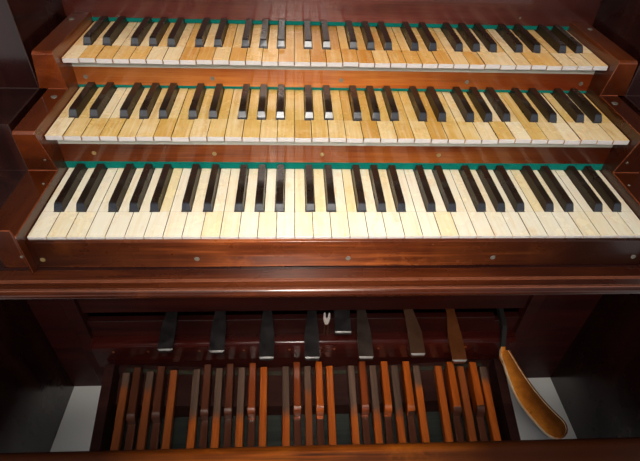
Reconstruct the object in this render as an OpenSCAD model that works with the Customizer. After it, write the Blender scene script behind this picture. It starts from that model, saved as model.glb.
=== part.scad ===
// Three-manual pipe organ console with a radiating, concave pedalboard and its bench.
// X runs from bass to treble, Y runs into the case and Z runs up. The origin is on the
// floor under the middle of the whole. Depths are named from the front of the lower keys.

/* [Case] */
// Overall width of the case
case_w = 1500; // [1460:10:1700]
// Height of the case under its top board
case_h = 1215; // [1190:5:1300]
// From the front of the lower keys back to the rear of the case
case_back = 650; // [560:10:800]
// Thickness of the outer side boards at the plinth
side_t = 30; // [22:1:40]
// How far the side boards stand in front of the lower keys
side_reach = 36; // [34:1:60]
// Radius of the hollow sweep in the front edge of each side board
sweep_r = 180; // [120:10:200]
// How far the side boards stand in front of the jambs above the sweep
sweep_reach = 12; // [4:1:20]
// Thickness of the rear panel
back_t = 16; // [12:1:22]
// Thickness of the top board
top_t = 30; // [20:1:40]
// How far the top board reaches past the front of the jambs
top_overhang = 24; // [18:1:40]
// Size of the hollow moulding under the front of the top board
cove = 16; // [8:1:17]
// Thickness of the boards that make the stepped jambs
jamb_t = 18; // [12:1:24]
// How far the lowest ledges stand in front of the lower keys
ledge_reach = 5; // [2:1:10]
// Thickness of the name board
name_board_t = 20; // [14:1:26]
// Distance of the name board behind the front of the lower keys
name_board_y = 383; // [376:1:400]
// Height of the plinth at the foot of each side
plinth_h = 90; // [70:5:110]
// How far the plinth stands out from the sides
plinth_reach = 6; // [4:1:9]
// Width of the frame round each sunk panel
stile_w = 64; // [50:2:76]
// Depth of the sunk panels
panel_sink = 5; // [3:1:6]
// Height of the case's bottom board above the floor
bottom_z = 24; // [10:1:40]

/* [Key desk] */
// Height of the lower manual's naturals above the floor
key_z = 905; // [880:5:930]
// Depth from the lower naturals down to the top of the key bed
bed_drop = 48; // [44:1:56]
// Thickness of the key bed
bed_t = 37; // [34:1:45]
// How far the moulded front rail stands in front of the lower keys
rail_reach = 30; // [24:1:33]
// Depth of the moulded front rail from front to back
rail_d = 20; // [18:1:23]
// Radius of the front rail's round nose
rail_nose_r = 9; // [7:0.5:10]
// Height of the groove above the round nose
rail_groove_h = 5; // [3:0.5:6]
// Thickness of the key slip in front of the lower manual
front_slip_t = 5; // [4:0.5:7]
// How far the top of that slip lies under the naturals' tops
front_slip_drop = 3; // [2:0.5:5]
// Thickness of the slips behind the lower and middle manuals
slip_t = 12; // [8:1:16]
// Width of the rails under the lower keys
key_rail_w = 34; // [26:1:40]

/* [Manuals] */
// Width of one natural with its gap
natural_pitch = 23.5; // [22.5:0.1:24]
// Gap between neighbouring keys
key_gap = 0.8; // [0.4:0.1:1.2]
// Depth of the wide head in front of the sharps
head_len = 50; // [44:1:54]
// Thickness of a key
key_t = 18; // [14:1:20]
// Thickness of the thin lip at the front of a natural
lip_t = 6.5; // [5:0.5:9]
// How far a manual's keys reach in front of the slip below them
overhang = 29; // [24:1:34]
// How far a key runs on behind the slip
tail_len = 16; // [14:1:24]
// Height of a sharp above the naturals
sharp_h = 10.5; // [9:0.5:12]
// Width of a sharp at its foot
sharp_w = 12; // [10:0.5:13]
// Width of a sharp at its top
sharp_top_w = 9.6; // [8:0.2:11]
// Length of the slanting nose at the front of a sharp
sharp_nose = 8; // [6:0.5:10]
// Height of the upright face under that nose
sharp_foot = 2.5; // [1.5:0.5:4]
// Height of the middle manual above the lower one
middle_rise = 71.5; // [68:0.5:76]
// Distance of the middle manual behind the lower one
middle_setback = 120; // [112:1:126]
// Thickness of the board that carries the middle manual
middle_frame_t = 12; // [8:1:14]
// Height of the upper manual above the lower one
upper_rise = 129.5; // [127:0.5:136]
// Distance of the upper manual behind the lower one
upper_setback = 234; // [228:1:242]
// Thickness of the board that carries the upper manual
upper_frame_t = 7; // [6:0.5:9]
// Thickness of the felt strips
felt_t = 2; // [1:0.5:3]
// Clearance under the felt strips
felt_gap = 0.8; // [0.4:0.1:1.5]
// Height of the felt above the lower naturals
lower_felt_h = 11.5; // [9:0.5:14]
// Height of the felt above the middle naturals
middle_felt_h = 4; // [3:0.5:6]
// Height of the felt above the upper naturals
upper_felt_h = 6; // [4:0.5:9]

/* [Key cheeks] */
// Width of the blocks beside the keys at their foot
cheek_w = 40; // [34:1:46]
// Width of the two upper blocks at their top
cheek_top_w = 28; // [22:1:32]
// Clearance between the end keys and the cheeks
cheek_gap = 1; // [0.6:0.1:2]
// Height of each cheek above the naturals beside it
cheek_rise = 15; // [12:1:18]
// How far each cheek stands in front of the keys beside it
cheek_reach = 18; // [14:1:24]
// How far the front of the middle cheek slopes back to its foot
cheek_slope = 20; // [0:1:28]
// Width of the corner cut from the front of the lowest cheek
cheek_corner = 12; // [6:1:18]
// Size of the small bevel along the top front edge of a cheek
cheek_bevel = 3; // [1:0.5:5]

/* [Kneeboard] */
// Distance of the kneeboard behind the front of the lower keys
knee_y = 340; // [330:1:350]
// Thickness of the kneeboard
knee_t = 18; // [14:1:24]
// Width of the kneeboard between its posts
knee_w = 1130; // [1110:5:1160]
// Width of the joints between the kneeboard, its posts and the side panels
joint_gap = 0.2; // [0.1:0.05:0.4]
// Width of the posts beside the kneeboard
post_w = 34; // [26:1:44]
// How far the posts stand in front of the kneeboard
post_reach = 12; // [6:1:20]
// Thickness of the side panels outside the posts
wing_t = 12; // [8:1:16]
// Height of the toe rail's top above the floor
toe_top_z = 242; // [238:1:246]
// Height of the toe rail from its top to its lower edge at the middle
toe_h = 66; // [60:1:70]
// How far the hollow lower edge of the toe rail comes down to its ends
toe_sweep = 30; // [20:1:34]
// Thickness of the toe rail
toe_t = 30; // [22:1:32]
// Radius of the toe rail's round upper edge
toe_round = 12; // [8:1:14]

/* [Foot levers] */
// Height of the levers' shaft above the floor
shaft_z = 350; // [346:1:356]
// Distance from the kneeboard's face back to the shaft
shaft_back = 90; // [80:1:100]
// Diameter of the shaft
shaft_d = 12; // [10:0.5:14]
// Running clearance round the shaft
shaft_gap = 0.3; // [0.2:0.05:0.5]
// Thickness of the brackets that hold the shaft
bracket_t = 10; // [8:1:14]
// Height of those brackets
bracket_h = 36; // [30:2:44]
// Slope of the composition pedals at rest
lever_slope = 12.5; // [11:0.5:15]
// From the shaft to the tip of a composition pedal
lever_len = 214; // [206:1:220]
// Distance between neighbouring composition pedals
lever_pitch = 120.8; // [118:0.2:123]
// How far the middle composition pedal stands to the right of the middle pedal key
lever_shift = 13.6; // [0:0.2:24]
// Distance of the short lever from the middle composition pedal, as a share of the pitch
short_lever_place = 0.6; // [0.45:0.05:0.62]
// Width of a composition pedal's stem
lever_stem_w = 22; // [18:1:26]
// Width of a composition pedal's plate
lever_plate_w = 36; // [32:1:42]
// Length of that plate
lever_plate_len = 62; // [54:1:70]
// Length over which the stem widens to the plate
lever_flare = 70; // [60:1:80]
// Thickness of the levers
lever_t = 6; // [5:0.5:8]
// Depth of the turned-down lip at the tip of a lever
lever_lip = 11; // [9:1:14]
// From the shaft to the tip of the short wide lever
short_lever_len = 150; // [142:1:156]
// Width of the short wide lever
short_lever_w = 41; // [36:1:46]
// Travel of the composition pedals in degrees
lever_travel = 10; // [6:0.5:11]
// Space left over and under the levers where they pass through the kneeboard
slot_gap = 6; // [5:0.5:8]

/* [Swell pedal] */
// Distance of the swell pedal's stem from the right-hand end of the kneeboard
swell_inset = 55; // [51:1:59]
// Thickness of the swell pedal's stem
swell_stem_t = 12; // [9:0.5:14]
// Height of the stem's section
swell_stem_h = 20; // [16:1:22]
// How far in front of the toe rail the stem bends down
swell_clear = 6; // [5:0.5:10]
// How far the stem has come down at its bend
swell_fall = 48; // [45:1:52]
// From the bend forward to the plate
swell_step = 40; // [34:1:46]
// Height of the swell pedal's plate above the floor
swell_z = 247; // [244:1:252]
// Thickness of the swell pedal's plate
swell_plate_t = 8; // [6:0.5:10]
// Length of the plate from its neck to the middle of its round foot
swell_plate_len = 210; // [196:1:220]
// Width of the plate at its neck
swell_neck_w = 22; // [20:1:26]
// Width of the plate at its foot
swell_foot_w = 62; // [56:1:66]
// How far the plate swings out to the right along its length
swell_swing = 47; // [40:1:52]
// Width of the raised rim round the plate
swell_rim_w = 4; // [3:0.5:5]
// Height of that rim
swell_rim_h = 1.5; // [1:0.25:2]
// Travel of the swell pedal in degrees
swell_travel = 7; // [4:0.5:8]

/* [Pedalboard] */
// Height of the middle natural of the pedalboard above the floor
pedal_z = 130; // [124:1:136]
// From the front of the lower keys back to the noses of the pedal sharps
nose_y = 170; // [164:1:173]
// Radius on which the pedals spread, at the noses of the sharps
spread_r = 4150; // [4000:50:4400]
// Radius of the hollow across the pedalboard
hollow_r = 4350; // [4000:50:4600]
// Distance between neighbouring naturals at the noses of the sharps
pedal_pitch = 58.8; // [58.4:0.1:59.6]
// Width of a pedal key
pedal_w = 19; // [17:0.5:19.5]
// Depth of a pedal key from top to underside
pedal_h = 32; // [28:1:36]
// Radius of a pedal key's upper edges
pedal_round = 3; // [2:0.5:5]
// From the noses of the sharps towards the player to the heel ends
heel_len = 530; // [500:5:540]
// From the noses of the sharps to the far ends of the keys
toe_len = 142; // [136:1:146]
// Height of a pedal sharp above the naturals
pedal_sharp_h = 21; // [18:1:25]
// Length of the curved nose of a pedal sharp
pedal_nose = 16; // [10:1:22]
// How far the low part of a sharp lies under the naturals' tops
pedal_sharp_drop = 12; // [8:1:16]
// Travel of the pedal keys in degrees
pedal_travel = 1.4; // [1:0.1:1.5]
// Clearance between a pedal key and the pad that it rests on
seat_gap = 0.3; // [0.2:0.05:0.5]
// Thickness of the pads under the pedal keys
pad_t = 4; // [3:0.5:6]
// Length of each pad along its key
pad_len = 40; // [30:1:46]
// Distance of the heel pads from the heel ends of the keys
heel_pad_inset = 5; // [3:1:8]
// Distance of the toe pads from the far ends of the keys
toe_pad_inset = 10; // [6:1:14]
// Thickness of the pedal frame's side boards
frame_side_t = 24; // [18:1:26]
// Height of the frame's side boards above the end keys
frame_side_rise = 12; // [6:1:16]
// How far the side boards run on past the heel ends of the keys
frame_heel_reach = 36; // [20:1:40]
// How far the side boards run on past the far ends of the keys
frame_toe_reach = 24; // [12:1:26]
// Depth of the frame's two beams from front to back
beam_d = 92; // [84:1:100]
// Thickness of the board under the pedal keys
base_board_t = 12; // [8:1:16]
// Height of that board above the floor
base_board_z = 20; // [10:1:40]

/* [Bench] */
// Length of the bench seat
bench_w = 1240; // [1200:5:1280]
// Depth of the bench seat
bench_d = 300; // [260:5:340]
// Height of the bench seat above the floor
bench_h = 655; // [620:5:680]
// From the front of the lower keys out to the near edge of the seat
bench_gap = 146; // [130:2:180]
// Thickness of the bench seat
seat_t = 32; // [26:1:38]
// Thickness of the bench ends
bench_end_t = 32; // [24:1:38]
// How far the bench ends stand in from the ends of the seat
bench_inset = 24; // [16:1:28]
// How far the bench ends stand in from the edges of the seat
bench_end_inset = 22; // [14:1:30]
// Width of each foot of the bench ends
bench_foot_w = 70; // [56:2:84]
// Height of each foot up to the round arch between them
bench_foot_h = 40; // [30:2:60]
// Height of the rail between the bench ends
stretcher_h = 110; // [80:5:140]
// Thickness of the rail between the bench ends
stretcher_t = 24; // [18:1:28]
// Distance of that rail under the seat
stretcher_drop = 60; // [40:5:80]
// Distance of that rail from the front edge of the bench ends
stretcher_inset = 20; // [12:1:30]

/* [Hidden] */
$fn = 48;
eps = 0.01;
natural_count = 34;
pedal_count = 29;
lever_count = 7;
front_y = (bench_gap + bench_d - case_back) / 2;
case_in = case_w / 2 - side_t;
side_face = case_w / 2 - plinth_reach;
manual_w = natural_count * natural_pitch;
cheek_x = manual_w / 2 + cheek_gap;
jamb_x = cheek_x + cheek_w;
upper_slope = cheek_slope / 2;
riser_y = middle_setback - cheek_reach + cheek_slope;
jamb_y = upper_setback - cheek_reach + upper_slope;
top_z = case_h - key_z;
bed_low = key_z - bed_drop - bed_t;
pedal_x = -1.5 * natural_pitch;
shaft_y = knee_y + shaft_back;
swell_x = knee_w / 2 - swell_inset;
rises = [0, middle_rise, upper_rise];
setbacks = [0, middle_setback, upper_setback];
slip_faces = [middle_setback + overhang, upper_setback + overhang, name_board_y];
felt_heights = [lower_felt_h, middle_felt_h, upper_felt_h];
middle_frame_z = middle_rise - key_t - middle_frame_t;
upper_frame_z = upper_rise - key_t - upper_frame_t;

// Which naturals have a sharp after them, and how far it sits off the line between keys
has_sharp = [true, true, false, true, true, true, false];
sharp_shift = [-2.4, 2.4, 0, -3.4, 0, 3.4, 0];
// Place of each note of an octave, counted in naturals
note_places = [0, 0.5, 1, 1.5, 2, 3, 3.5, 4, 4.5, 5, 5.5, 6];

function two_digits(n) = n < 10 ? str("0", n) : str(n);
function pedal_name(i) = str("pedal_key_", two_digits(i + 1));
function lever_name(i) = str("composition_pedal_", i + 1);
function note_place(i) = 7 * floor(i / 12) + note_places[i % 12];
function is_sharp(i) = note_place(i) != floor(note_place(i));

// Places its children at the front of the lower keys, level with their tops
module at_keys() {
    translate([0, front_y, key_z]) children();
}

// Places its children on the floor under the front of the lower keys
module at_floor() {
    translate([0, front_y, 0]) children();
}

// Draws a profile given as depth and height, and runs it along X from x0 to x1
module run(x0, x1) {
    translate([x0, 0, 0]) rotate([90, 0, 90]) linear_extrude(x1 - x0) children();
}

// Draws a profile given as breadth and height, and runs it along Y from y0 to y1
module run_back(y0, y1) {
    translate([0, y1, 0]) rotate([90, 0, 0]) linear_extrude(y1 - y0) children();
}

// Draws a box from one corner to the other
module block(low, high) {
    translate(low) cube(high - low);
}

// Draws a board's end with both corners of its front edge rounded to the radius r
module nosed_board(y0, y1, z0, z1, r) {
    translate([y0 + r, z0]) square([y1 - y0 - r, z1 - z0]);
    translate([y0, z0 + r]) square([r + eps, z1 - z0 - 2 * r]);
    translate([y0 + r, z0 + r]) circle(r);
    translate([y0 + r, z1 - r]) circle(r);
}

module both_sides() {
    children();
    mirror([1, 0, 0]) children();
}

// Points of a quarter of an ellipse, from its upright end to its level end
function quarter(y, z, len, h) =
    [for (a = [0 : 18 : 90]) [y + len * (1 - cos(a)), z + h * sin(a)]];

// Points of a flat slanting face whose upper edge is rounded, given as shares of its size
slant_shares = [[0, 0], [0.55, 0.86], [0.8, 0.965], [1, 1]];
function slant(y, z, len, h) = [for (p = slant_shares) [y + len * p[0], z + h * p[1]]];

// Outer board with the hollow sweep that leads from the key desk up to the top
corner_z = key_z + cheek_rise + sweep_reach;
corner_y = jamb_y - sweep_reach;
module side_profile() {
    difference() {
        translate([-side_reach, 0]) square([case_back + side_reach, case_h]);
        translate([-side_reach - 1, corner_z])
            square([corner_y - sweep_r + side_reach + 1, case_h]);
        translate([corner_y - sweep_r - eps, corner_z + sweep_r])
            square([sweep_r + eps, case_h]);
        translate([corner_y - sweep_r, corner_z + sweep_r]) circle(sweep_r, $fn = 96);
    }
}

// One side board with its plinth and two sunk panels
module side_board() {
    sunk_x = side_face - panel_sink;
    lock_z = bed_low - stile_w;
    difference() {
        run(case_in, case_w / 2) side_profile();
        run_back(-side_reach - 1, case_back + 1) polygon([
            [side_face, case_h + 1], [side_face, plinth_h + plinth_reach],
            [case_w / 2, plinth_h], [case_w / 2 + 1, plinth_h], [case_w / 2 + 1, case_h + 1]]);
        block([sunk_x, stile_w - side_reach, plinth_h + stile_w],
              [case_w / 2, case_back - stile_w, lock_z]);
        block([sunk_x, corner_y + stile_w, lock_z + stile_w],
              [case_w / 2, case_back - stile_w, case_h - stile_w]);
    }
}

// Ledges outside the cheeks, bent out of boards that follow the rise of the manuals
module jamb_profile() {
    a = -ledge_reach;
    b = riser_y;
    c = jamb_y;
    low = cheek_rise;
    high = middle_rise + cheek_rise;
    polygon([
        [a, -bed_drop], [a, low], [b, low], [b, high], [c, high], [c, top_z],
        [c + jamb_t, top_z], [c + jamb_t, high - jamb_t], [b + jamb_t, high - jamb_t],
        [b + jamb_t, low - jamb_t], [a + jamb_t, low - jamb_t], [a + jamb_t, -bed_drop]]);
}

module case_sides() {
    color("#3a1510") {
        both_sides() {
            at_floor() side_board();
            at_keys() {
                run(jamb_x, case_in + eps) jamb_profile();
                block([jamb_x, jamb_y + eps, middle_rise + cheek_rise],
                      [jamb_x + jamb_t, name_board_y + name_board_t, top_z]);
            }
        }
        at_floor() block([-case_in - eps, knee_y + knee_t, bottom_z],
                         [case_in + eps, case_back - back_t, bottom_z + jamb_t]);
    }
}

// Framed back with three sunk panels in each of two rows
module back_panel() {
    columns = 3;
    row_split = case_h / 2;
    panel_w = (2 * case_in - (columns + 1) * stile_w) / columns;
    color("#2c100c") at_floor() difference() {
        block([-case_in, case_back - back_t, 0], [case_in, case_back, case_h]);
        for (i = [0 : columns - 1], span = [[plinth_h + stile_w, row_split - stile_w / 2],
                                            [row_split + stile_w / 2, case_h - stile_w]])
            translate([stile_w - case_in + i * (panel_w + stile_w), 0, 0])
                block([0, case_back - panel_sink, span[0]], [panel_w, case_back + 1, span[1]]);
    }
}

// Top board with a hollow moulding under its front edge
module case_top() {
    front = jamb_y - top_overhang;
    set = (top_overhang - cove) / 2;
    color("#3a1510") at_floor() {
        run(-case_w / 2, case_w / 2) nosed_board(front, case_back, case_h, case_h + top_t, top_t / 3);
        run(-case_in, case_in) difference() {
            translate([front + set, case_h - cove]) square([jamb_y - front - set, cove + eps]);
            translate([front + set, case_h - cove]) circle(cove - 2);
        }
    }
}

module name_board() {
    color("#4a1a12") at_keys()
        block([-jamb_x, name_board_y, upper_rise + felt_gap + upper_felt_h],
              [jamb_x, name_board_y + name_board_t, top_z]);
}

module key_bed() {
    color("#3a1510") at_keys()
        block([-case_in, rail_d - rail_reach, -bed_drop - bed_t],
              [case_in, case_back - back_t, -bed_drop]);
}

// Moulded rail: a fillet, a sunk groove and a round nose under it
module front_rail_profile() {
    y = -rail_reach;
    low = -bed_drop - bed_t;
    step = 2;
    groove_z = low + 2 * rail_nose_r;
    difference() {
        union() {
            translate([y + step, low]) square([rail_d - step, bed_t]);
            translate([y, groove_z + rail_groove_h])
                square([rail_d, bed_t - 2 * rail_nose_r - rail_groove_h - step]);
            translate([y + rail_nose_r - step, low + rail_nose_r]) circle(rail_nose_r);
        }
        translate([y - 1, groove_z]) square([rail_groove_h, rail_groove_h]);
        translate([y - rail_nose_r, low - 1]) square([rail_nose_r + 2 * step, 2 * step]);
    }
}

module front_rail() {
    color("#52210f") at_keys() run(-case_in, case_in) front_rail_profile();
}

module key_slips() {
    gap = 1;
    color("#6a2c12") at_keys() {
        run(-cheek_x, cheek_x)
            nosed_board(-gap - front_slip_t, -gap, -bed_drop, -front_slip_drop, front_slip_t / 4);
        block([-cheek_x, slip_faces[0], felt_gap + lower_felt_h],
              [cheek_x, slip_faces[0] + slip_t, middle_frame_z]);
        block([-cheek_x, slip_faces[1], middle_rise + felt_gap + middle_felt_h],
              [cheek_x, slip_faces[1] + slip_t, upper_frame_z]);
    }
}

// Side view of a cheek, with its front sloping back to its foot
module cheek_profile(front, low, high, slope) {
    polygon([[front + slope, low], [front, high - cheek_bevel], [front + cheek_bevel, high],
             [name_board_y, high], [name_board_y, low]]);
}

// Lowest cheek, whose front corner is cut back to the ledge beside it
module low_cheek() {
    intersection() {
        run(cheek_x, jamb_x) cheek_profile(-cheek_reach, -bed_drop, cheek_rise, 0);
        translate([0, 0, -bed_drop]) linear_extrude(bed_drop + cheek_rise) polygon([
            [cheek_x, -cheek_reach], [cheek_x + cheek_corner, -ledge_reach],
            [jamb_x, -ledge_reach], [jamb_x, name_board_y], [cheek_x, name_board_y]]);
    }
}

// Upper cheek, whose outer side leans in from its foot to its top
module leaning_cheek(front, low, high, slope) {
    intersection() {
        run(cheek_x, jamb_x) cheek_profile(front, low, high, slope);
        run_back(front, name_board_y) polygon([
            [cheek_x, low], [jamb_x, low], [cheek_x + cheek_top_w, high], [cheek_x, high]]);
    }
}

module key_cheeks() {
    color("#5a2010") at_keys() both_sides() {
        low_cheek();
        leaning_cheek(middle_setback - cheek_reach, cheek_rise,
                      middle_rise + cheek_rise, cheek_slope);
        leaning_cheek(upper_setback - cheek_reach, middle_rise + cheek_rise,
                      upper_rise + cheek_rise, upper_slope);
    }
}

// Rails under the lower keys and a board under each of the others
module key_frames() {
    front = overhang + 6;
    back = name_board_y + name_board_t;
    color("#9a9a90") at_keys() {
        block([-cheek_x, front, -bed_drop], [cheek_x, front + key_rail_w, -key_t]);
        block([-cheek_x, slip_faces[0] - key_rail_w, -bed_drop],
              [cheek_x, slip_faces[0] + tail_len, -key_t]);
        block([-cheek_x, slip_faces[0], middle_frame_z],
              [cheek_x, back, middle_frame_z + middle_frame_t]);
        block([-cheek_x, slip_faces[1], upper_frame_z],
              [cheek_x, back, upper_frame_z + upper_frame_t]);
    }
}

// Middle of the sharp after natural k, measured from the left edge of the naturals
function sharp_at(k) = (k + 1) * natural_pitch + sharp_shift[k % 7];
function sharp_after(k) = has_sharp[k % 7] && k < natural_count - 1;
function cut_left(k) = k > 0 && sharp_after(k - 1)
    ? sharp_at(k - 1) + sharp_w / 2 + key_gap : k * natural_pitch + key_gap / 2;
function cut_right(k) = sharp_after(k)
    ? sharp_at(k) - sharp_w / 2 - key_gap : (k + 1) * natural_pitch - key_gap / 2;

// One natural: a thin lip in front, a full head and a narrow tail beside the sharps
module natural(k, len) {
    left = k * natural_pitch + key_gap / 2;
    right = (k + 1) * natural_pitch - key_gap / 2;
    head = head_len - key_gap;
    block([left, 0, -lip_t], [right, overhang, 0]);
    block([left, overhang, -key_t], [right, head, 0]);
    block([cut_left(k), head, -key_t], [cut_right(k), len, 0]);
}

module naturals(m) {
    len = slip_faces[m] - setbacks[m] + tail_len;
    color("#efe3c4") at_keys() translate([-manual_w / 2, setbacks[m], rises[m]])
        for (k = [0 : natural_count - 1]) natural(k, len);
}

// One sharp on its stick: a slanting nose, sides that lean in and a low tail under the felt
module sharp(k, m) {
    end = slip_faces[m] - setbacks[m] + tail_len;
    top_end = slip_faces[m] - setbacks[m] - felt_t - 0.5;
    stick_top = -1.5;
    translate([sharp_at(k), 0, 0]) intersection() {
        run(-sharp_w / 2, sharp_w / 2) polygon(concat(
            [[head_len, -key_t]],
            slant(head_len, sharp_foot, sharp_nose, sharp_h - sharp_foot),
            [[top_end, sharp_h], [top_end, stick_top], [end, stick_top], [end, -key_t]]));
        run_back(-1, end + 1) polygon([
            [-sharp_w / 2, -key_t], [-sharp_w / 2, 0.5], [-sharp_top_w / 2, sharp_h],
            [sharp_top_w / 2, sharp_h], [sharp_w / 2, 0.5], [sharp_w / 2, -key_t]]);
    }
}

module sharps(m) {
    color("#17120f") at_keys() translate([-manual_w / 2, setbacks[m], rises[m]])
        for (k = [0 : natural_count - 1]) if (sharp_after(k)) sharp(k, m);
}

module lower_naturals() naturals(0);
module middle_naturals() naturals(1);
module upper_naturals() naturals(2);
module lower_sharps() sharps(0);
module middle_sharps() sharps(1);
module upper_sharps() sharps(2);

module felt_strips() {
    color("#0f6a4a") at_keys() for (m = [0 : 2])
        block([-cheek_x, slip_faces[m], rises[m] + felt_gap],
              [cheek_x, slip_faces[m] + felt_t, rises[m] + felt_gap + felt_heights[m]]);
}

// How each composition pedal differs: shorter by, set to the right by, plate bent right by
lever_cuts = [24, 18, 0, -2, -3, 3, -15];
lever_sets = [4, 3, 2, -5, 2, 3, -6];
lever_bends = [-4, 0, 1, -2, 2, 9, -2];

// Place of composition pedal i along X
function lever_x(i) = pedal_x + lever_shift + (i - 3) * lever_pitch + lever_sets[i];
short_lever_x = pedal_x + lever_shift + short_lever_place * lever_pitch;

// Height of the middle of the swell pedal's stem at a depth y, both measured from the shaft
swell_bend_y = -(shaft_back + toe_t + swell_clear);
swell_end_y = swell_bend_y - swell_step;
function swell_stem_z(y) = -swell_fall * y / swell_bend_y;

// The long slot between the upper and lower kneeboards, and its deeper end at the swell pedal
slot_top = shaft_z - tan(lever_slope) * (shaft_back - knee_t) + lever_t / 2 + slot_gap;
slot_low = shaft_z - tan(lever_slope + lever_travel) * shaft_back - lever_t / 2 - slot_gap;
swell_slot_low = shaft_z + swell_stem_z(-shaft_back) - swell_stem_h / 2 - slot_gap
    - tan(swell_travel) * shaft_back;

module kneeboard() {
    x0 = pedal_x - knee_w / 2;
    x1 = pedal_x + knee_w / 2;
    notch = swell_stem_t / 2 + slot_gap;
    panel_w = (knee_w - 4 * stile_w) / 3;
    color("#35130e") at_floor() {
        difference() {
            run(x0 + joint_gap, x1 - joint_gap) polygon([
                [knee_y, slot_top - tan(lever_slope) * knee_t], [knee_y, bed_low],
                [knee_y + knee_t, bed_low], [knee_y + knee_t, slot_top]]);
            for (i = [0 : 2]) translate([x0 + stile_w + i * (panel_w + stile_w), knee_y, 0])
                block([0, -1, slot_top + stile_w], [panel_w, panel_sink, bed_low - stile_w]);
        }
        difference() {
            block([x0 + joint_gap, knee_y, 0], [x1 - joint_gap, knee_y + knee_t, slot_low]);
            block([pedal_x + swell_x - notch, knee_y - 1, swell_slot_low],
                  [pedal_x + swell_x + notch, knee_y + knee_t + 1, slot_low + 1]);
        }
        for (x = [x0 - post_w, x1])
            block([x, knee_y - post_reach, 0], [x + post_w, knee_y + knee_t, bed_low]);
        block([-case_in, knee_y, 0], [x0 - post_w - joint_gap, knee_y + wing_t, bed_low]);
        block([x1 + post_w + joint_gap, knee_y, 0], [case_in, knee_y + wing_t, bed_low]);
    }
}

// Toe rail, whose lower edge is one long hollow curve from end to end
module toe_rail() {
    half = knee_w / 2;
    steps = 12;
    low = toe_top_z - toe_h;
    foot = low - toe_sweep;
    color("#45160f") at_floor() translate([pedal_x, 0, 0]) intersection() {
        run_back(knee_y - toe_t, knee_y) polygon(concat(
            [[-half, toe_top_z]],
            [for (i = [-steps : steps]) [half * i / steps, low - toe_sweep * pow(i / steps, 2)]],
            [[half, toe_top_z]]));
        run(-half, half)
            nosed_board(knee_y - toe_t, knee_y, foot - 2 * toe_round, toe_top_z, toe_round);
    }
}

// Iron shaft behind the kneeboard, with the brackets that hold it
module lever_shaft() {
    x0 = lever_x(0) - 2 * lever_stem_w;
    x1 = pedal_x + swell_x + 1.5 * swell_stem_h;
    set = bracket_t / 2 + 1;
    color("#3c3a38") at_floor() {
        translate([x0, shaft_y, shaft_z]) rotate([0, 90, 0])
            cylinder(d = shaft_d, h = x1 - x0);
        for (x = [x0 + set, lever_x(2) - lever_pitch / 2, lever_x(5) - lever_pitch / 2, x1 - set])
            block([x - bracket_t / 2, knee_y + knee_t, shaft_z - bracket_h / 2],
                  [x + bracket_t / 2, shaft_y + 1.2 * shaft_d, shaft_z + bracket_h / 2]);
    }
}

module hub(w) {
    translate([-w / 2, 0, 0]) rotate([0, 90, 0]) cylinder(d = 2 * shaft_d, h = w);
}

module hub_bore(w) {
    translate([-w / 2 - 1, 0, 0]) rotate([0, 90, 0])
        cylinder(d = shaft_d + 2 * shaft_gap, h = w + 2);
}

// Side view of a lever's flat iron, turned down at its tip
module lever_profile(len) {
    t = lever_t / 2;
    r = lever_t;
    translate([r - len, -t]) square([len - r, lever_t]);
    translate([-len, -lever_lip]) square([lever_t, lever_lip + t - r + eps]);
    intersection() {
        translate([r - len, t - r]) circle(r);
        translate([-len, t - r]) square([r + eps, r]);
    }
}

// Composition pedal: a flat iron stem that flares into a plate with a turned-down lip
module composition_pedal(i) {
    s = lever_stem_w / 2;
    p = lever_plate_w / 2;
    corner = 4;
    bend = lever_bends[i];
    len = lever_len - lever_cuts[i];
    plate_y = lever_plate_len - len;
    color("#2b2724") at_floor() translate([lever_x(i), shaft_y, shaft_z])
        rotate([lever_slope, 0, 0]) difference() {
            union() {
                intersection() {
                    translate([0, 0, -lever_lip]) linear_extrude(lever_lip + lever_t) polygon([
                        [-s, 0], [-s, plate_y + lever_flare], [bend - p, plate_y],
                        [bend - p, corner - len], [bend + corner - p, -len],
                        [bend + p - corner, -len], [bend + p, corner - len], [bend + p, plate_y],
                        [s, plate_y + lever_flare], [s, 0]]);
                    run(-p - abs(bend), p + abs(bend)) lever_profile(len);
                }
                hub(lever_stem_w);
            }
            hub_bore(lever_stem_w);
        }
}

module short_lever() {
    p = short_lever_w / 2;
    color("#2b2724") at_floor() translate([short_lever_x, shaft_y, shaft_z])
        rotate([lever_slope, 0, 0]) difference() {
            union() {
                run(-p, p) lever_profile(short_lever_len);
                hub(short_lever_w);
            }
            hub_bore(short_lever_w);
        }
}

// Plan of the swell plate: a leaf that widens quickly from its neck, curves away to the
// right and ends in a round foot. An inset makes the plan of the hollow inside its rim.
swing_power = 2.8;
leaf_steps = 12;
cap_steps = 10;
function leaf_mid(t) = [swell_neck_w / 2 - 1 + swell_swing * pow(t, swing_power), -swell_plate_len * t];
function leaf_turn(t) = atan(swell_swing * swing_power * pow(t, swing_power - 1) / swell_plate_len);
function leaf_half(t) = (swell_foot_w - (swell_foot_w - swell_neck_w) * pow(1 - t, 2)) / 2;
function leaf_side(t, reach, turn) = leaf_mid(t) + reach * [cos(turn), sin(turn)];

module swell_plate(inset) {
    start = inset / swell_plate_len;
    ts = [for (i = [0 : leaf_steps]) start + (1 - start) * i / leaf_steps];
    foot_turn = leaf_turn(1);
    polygon(concat(
        [for (t = ts) leaf_side(t, inset - leaf_half(t), leaf_turn(t))],
        [for (i = [1 : cap_steps - 1])
            leaf_side(1, leaf_half(1) - inset, foot_turn - 180 + 180 * i / cap_steps)],
        [for (i = [leaf_steps : -1 : 0]) leaf_side(ts[i], leaf_half(ts[i]) - inset, leaf_turn(ts[i]))]));
}

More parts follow.
